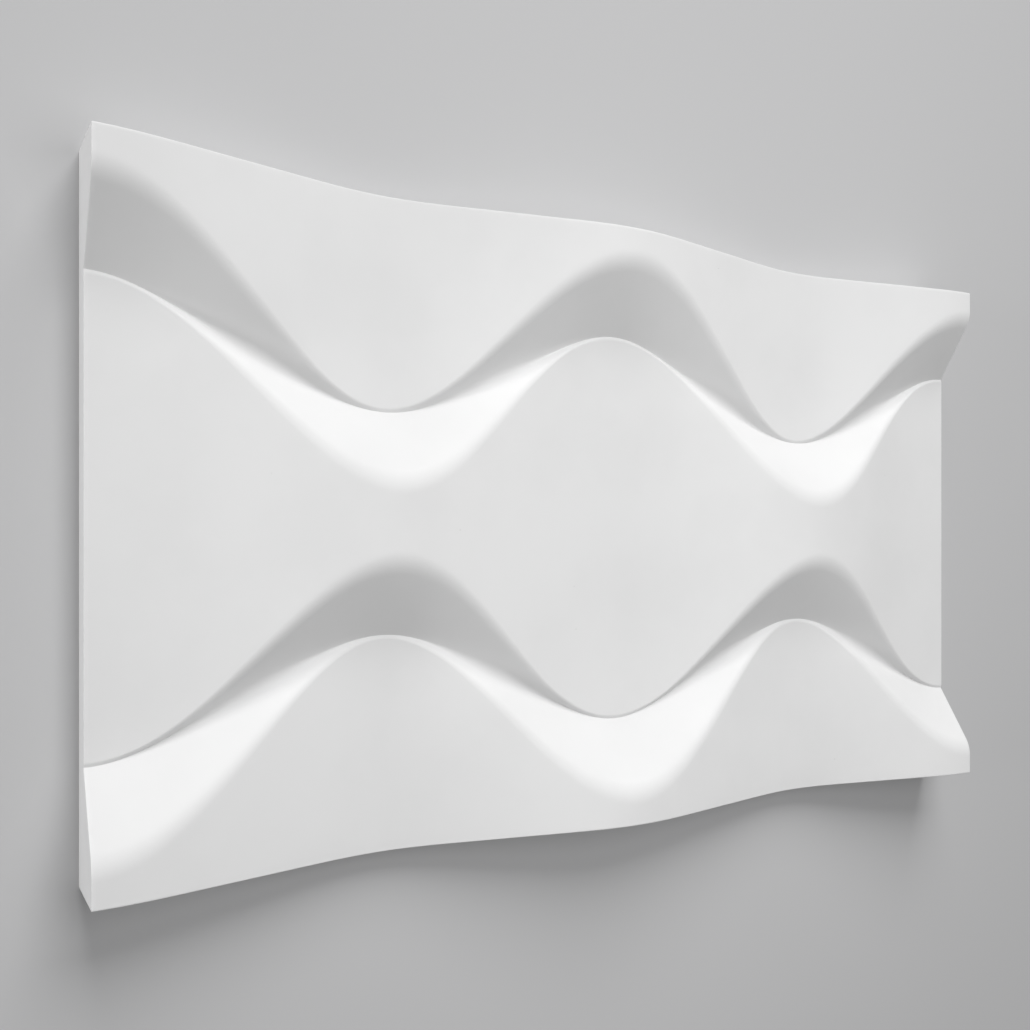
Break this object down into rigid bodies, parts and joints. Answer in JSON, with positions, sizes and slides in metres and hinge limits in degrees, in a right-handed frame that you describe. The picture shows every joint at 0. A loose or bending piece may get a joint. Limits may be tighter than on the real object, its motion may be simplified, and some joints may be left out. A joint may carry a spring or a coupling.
{
  "type": "wall panel tile",
  "caption": "Rectangular cast gypsum wall tile with a wavy relief: rows that rise and fall in turn, with wandering creases between them. Flat back for gluing, square edges for butting.",
  "frame": {"origin": "middle of the flat back face", "axes": "+X along the panel, +Y up the panel when it hangs on a wall, +Z out of the wall, from the back to the relief"},
  "size_m": [0.6, 0.35, 0.04],
  "materials": {
    "gypsum": "matte"
  },
  "bodies": {
    "root": {"wall_panel": "gypsum"}
  },
  "joints": []
}
